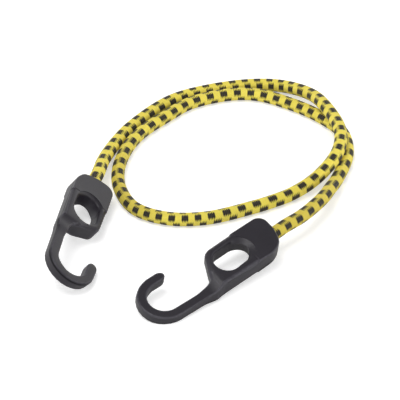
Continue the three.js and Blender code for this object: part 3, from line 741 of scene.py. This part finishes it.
def edge_wear_and_highlight_group():
    """Shader group: how far raised edges are rubbed and painted with a highlight, from the edge mark, broken
    up by noise.
    """
    tree = bpy.data.node_groups.new("edge_wear_and_highlight", "ShaderNodeTree")
    add_input(tree, "Edge", "NodeSocketFloat", 0.0)
    add_input(tree, "Breakup per Metre", "NodeSocketFloat", 400.0)
    add_input(tree, "Amount", "NodeSocketFloat", 0.5)
    tree.interface.new_socket("Wear and Highlight", in_out="OUTPUT", socket_type="NodeSocketFloat")
    given = tree.nodes.new("NodeGroupInput").outputs
    place = tree.nodes.new("ShaderNodeTexCoord").outputs["Object"]
    noise = add_node(tree, "ShaderNodeTexNoise", Vector=place, Scale=given["Breakup per Metre"], Detail=5.0)
    broken = maths(tree, "MULTIPLY_ADD", noise.outputs[0], 0.9, 0.05, clamp=True)
    wear_and_highlight = maths(tree, "MULTIPLY", maths(tree, "MULTIPLY", given["Edge"], broken), given["Amount"])
    tree.links.new(wear_and_highlight, tree.nodes.new("NodeGroupOutput").inputs[0])
    return tree


EDGE_WEAR_AND_HIGHLIGHT = edge_wear_and_highlight_group()
# Colours of the plastic, then the mould line's half width in metres and its depth against the grain
NYLON, NYLON_PALER = linear(30, 27, 34), linear(40, 37, 44)
# A paler colour for the raised edges: a painted highlight, together with their wear
RUBBED_AND_HIGHLIT = linear(100, 98, 107)
# A near black painted along the mould line: a painted dark reflection over the line's shallow groove
LINE_DARK_PAINT, LINE_DARK_PAINT_SHOWS = linear(10, 10, 12), 0.9
LINE_HALF_WIDTH = 0.0008
LINE_DEPTH = 3.0
SATIN_GLOSS, LINE_GLOSS_LOST = 0.4, 0.35
SATIN_ROUGHNESS, ROUGHER_BY_PATCHES, RUBBED_SMOOTHER = 0.34, 0.16, 0.15


def plastic_material(name):
    """Satin black nylon: a fine grain, raised edges rubbed smoother with a painted highlight, a painted dark
    mould line.
    """
    material, tree, shader = new_material(name, Specular_IOR_Level=SATIN_GLOSS)
    edge = mesh_mark(tree, "raised_edge", "raised edges")
    fuzz = grouped(tree, "moulded grain", FIBRE_FUZZ, Grain_per_Metre=3200.0, Patches_per_Metre=45.0)
    wear_and_highlight = grouped(tree, "wear_and_highlight", EDGE_WEAR_AND_HIGHLIGHT, Edge=edge, Breakup_per_Metre=420.0, Amount=0.6)["Wear and Highlight"]
    off_line = mesh_mark(tree, "from_mould_line", "distance from the mould line")
    seam = maths(tree, "DIVIDE", maths(tree, "ABSOLUTE", off_line), LINE_HALF_WIDTH)
    seam = maths(tree, "SUBTRACT", 1.0, seam, clamp=True, label="mould line")
    colour = mixed(tree, fuzz["Patches"], NYLON, NYLON_PALER, "black nylon")
    # Painted highlight: the raised edges are painted paler, as well as worn
    colour = mixed(tree, wear_and_highlight, colour, RUBBED_AND_HIGHLIT, "rubbed edges with painted highlight")
    # Painted dark reflection: a near black line along the mould line
    dark_line_paint = maths(tree, "MULTIPLY", seam, LINE_DARK_PAINT_SHOWS)
    colour = mixed(tree, dark_line_paint, colour, LINE_DARK_PAINT, "dark line painted in the mould line")
    tree.links.new(colour, shader.inputs["Base Color"])
    gloss = maths(tree, "MULTIPLY_ADD", seam, -LINE_GLOSS_LOST, SATIN_GLOSS, label="no gloss in the line")
    tree.links.new(gloss, shader.inputs["Specular IOR Level"])
    rough = maths(tree, "MULTIPLY_ADD", fuzz["Patches"], ROUGHER_BY_PATCHES, SATIN_ROUGHNESS)
    rubbed = maths(tree, "MULTIPLY", wear_and_highlight, RUBBED_SMOOTHER)
    rough = maths(tree, "SUBTRACT", rough, rubbed, label="satin")
    tree.links.new(rough, shader.inputs["Roughness"])
    height = maths(tree, "MULTIPLY_ADD", seam, -LINE_DEPTH, fuzz["Grain"], label="grain and mould line")
    bump = add_node(tree, "ShaderNodeBump", Strength=0.4, Distance=0.00006, Height=height).outputs[0]
    tree.links.new(bump, shader.inputs["Normal"])
    return material


# How near two points have to be to be joined, and a point to a cut to lie on it
SAME_POINT = 0.000002
ON_THE_CUT = 0.000001
SMOOTH_UNDER = math.radians(38)
FLATS_WEIGHT = 90
# Cuts across the hook, by their place along it, that give the hollow of the inner corner its points
CORNER_CUTS = (0.0595, 0.0615, 0.0635, 0.0655)


def moulded_hook(name):
    """The CAD hook with its corners joined, filled out, smooth over its facets, and marked for its finish."""
    stand = hook_stand(name)
    to_own = stand.inverted()
    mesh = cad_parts[name].data.copy()
    shape = bmesh.new()
    shape.from_mesh(mesh)
    bmesh.ops.remove_doubles(shape, verts=shape.verts, dist=SAME_POINT)
    for cut in CORNER_CUTS:
        bmesh.ops.bisect_plane(shape, geom=[*shape.verts, *shape.edges, *shape.faces], dist=ON_THE_CUT,
                               plane_co=stand @ Vector((cut, 0.0, 0.0)),
                               plane_no=stand.to_3x3() @ Vector((1, 0, 0)))
    shape.normal_update()
    mark_mould_line(shape, stand)
    for vertex in shape.verts:
        vertex.co = stand @ filled_out(to_own @ vertex.co)
        vertex.co.z = max(vertex.co.z, 0.0)
    for face in shape.faces:
        face.smooth = True
    shape.normal_update()
    for edge in shape.edges:
        edge.smooth = edge.calc_face_angle(0) < SMOOTH_UNDER
    mark_raised_edges(shape, stand)
    shape.to_mesh(mesh)
    shape.free()
    mesh.materials.clear()
    mesh.materials.append(plastic_material(f"satin_nylon_{name[-1]}"))
    piece = bpy.data.objects.new(f"{name}_moulding", mesh)
    bpy.context.scene.collection.objects.link(piece)
    flats = piece.modifiers.new("flat faces stay flat", "WEIGHTED_NORMAL")
    flats.keep_sharp = True
    flats.weight = FLATS_WEIGHT
    as_plain_mesh(piece)
    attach(piece, name)
    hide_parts(name)


for name in HOOK_PLACES:
    moulded_hook(name)

# Stage: a plain white floor that takes the soft shadow, under a broad overhead light and a white sky. The
# floor glows for the camera, so that it comes out nearly white, and dimly for what mirrors it.
FLOOR_HALF = 3.0
FLOOR_GLOW = 0.45
MIRRORED_SHARE = 0.15
WHITE = linear(255, 255, 255)

floor_mesh = bpy.data.meshes.new("floor")
corners = [(-FLOOR_HALF, -FLOOR_HALF, 0), (FLOOR_HALF, -FLOOR_HALF, 0), (FLOOR_HALF, FLOOR_HALF, 0),
           (-FLOOR_HALF, FLOOR_HALF, 0)]
floor_mesh.from_pydata(corners, [], [(0, 1, 2, 3)])
floor = bpy.data.objects.new("floor", floor_mesh)
bpy.context.scene.collection.objects.link(floor)
paper, tree, shader = new_material("white_paper", Base_Color=linear(238, 238, 238), Roughness=0.9,
                                   Specular_IOR_Level=0.1)
rays = tree.nodes.new("ShaderNodeLightPath").outputs
seen = maths(tree, "MAXIMUM", rays["Is Camera Ray"], rays["Is Transmission Ray"])
seen = maths(tree, "MULTIPLY_ADD", rays["Is Glossy Ray"], MIRRORED_SHARE, seen, label="or dimly mirrored")
glow = add_node(tree, "ShaderNodeEmission", Strength=maths(tree, "MULTIPLY", seen, FLOOR_GLOW)).outputs[0]
both = add_node(tree, "ShaderNodeAddShader", i0=shader.outputs[0], i1=glow).outputs[0]
tree.links.new(both, tree.nodes["Material Output"].inputs["Surface"])
floor_mesh.materials.append(paper)

# Sky: it lights the cord from all sides, bright round the horizon and dim overhead, by the height of the
# direction looked in, and is plain white where the camera sees it.
HORIZON_TO, OVERHEAD_FROM = 0.1, 0.6
HORIZON_LIGHT, OVERHEAD_LIGHT = 2.0, 0.3

world = bpy.data.worlds.new("sky")
bpy.context.scene.world = world
world.use_nodes = True
tree = world.node_tree
looked = tree.nodes.new("ShaderNodeTexCoord").outputs["Generated"]
rise = add_node(tree, "ShaderNodeSeparateXYZ", "height in the sky", Vector=looked).outputs["Z"]
glow = add_node(tree, "ShaderNodeMapRange", "bright low, dim above", Value=rise, From_Min=HORIZON_TO,
                From_Max=OVERHEAD_FROM, To_Min=HORIZON_LIGHT, To_Max=OVERHEAD_LIGHT).outputs[0]
rays = tree.nodes.new("ShaderNodeLightPath").outputs
shown = maths(tree, "MAXIMUM", rays["Is Camera Ray"], rays["Is Transmission Ray"])
strength = maths(tree, "MAXIMUM", glow, shown, label="plain white where it shows")
tree.links.new(strength, tree.nodes["Background"].inputs["Strength"])
tree.nodes["Background"].inputs["Color"].default_value = WHITE

# Lamps: square panels, each with its place, the length of its side and its watts, aimed at the loop's middle
LOOP_MIDDLE = Vector((0.02, 0.07, 0))
LAMPS = {
    "key": ((-0.35, -0.25, 1.5), 0.9, 12.0),
    "fill": ((1.0, -0.9, 0.9), 1.0, 3.0),
}
for name, (place, side, watts) in LAMPS.items():
    lamp = bpy.data.lights.new(name, "AREA")
    lamp.size = side
    lamp.energy = watts
    light = bpy.data.objects.new(name, lamp)
    aim = LOOP_MIDDLE - Vector(place)
    light.matrix_world = Matrix.Translation(place) @ aim.to_track_quat("-Z", "Y").to_matrix().to_4x4()
    bpy.context.scene.collection.objects.link(light)

bpy.context.scene.view_settings.view_transform = "Standard"
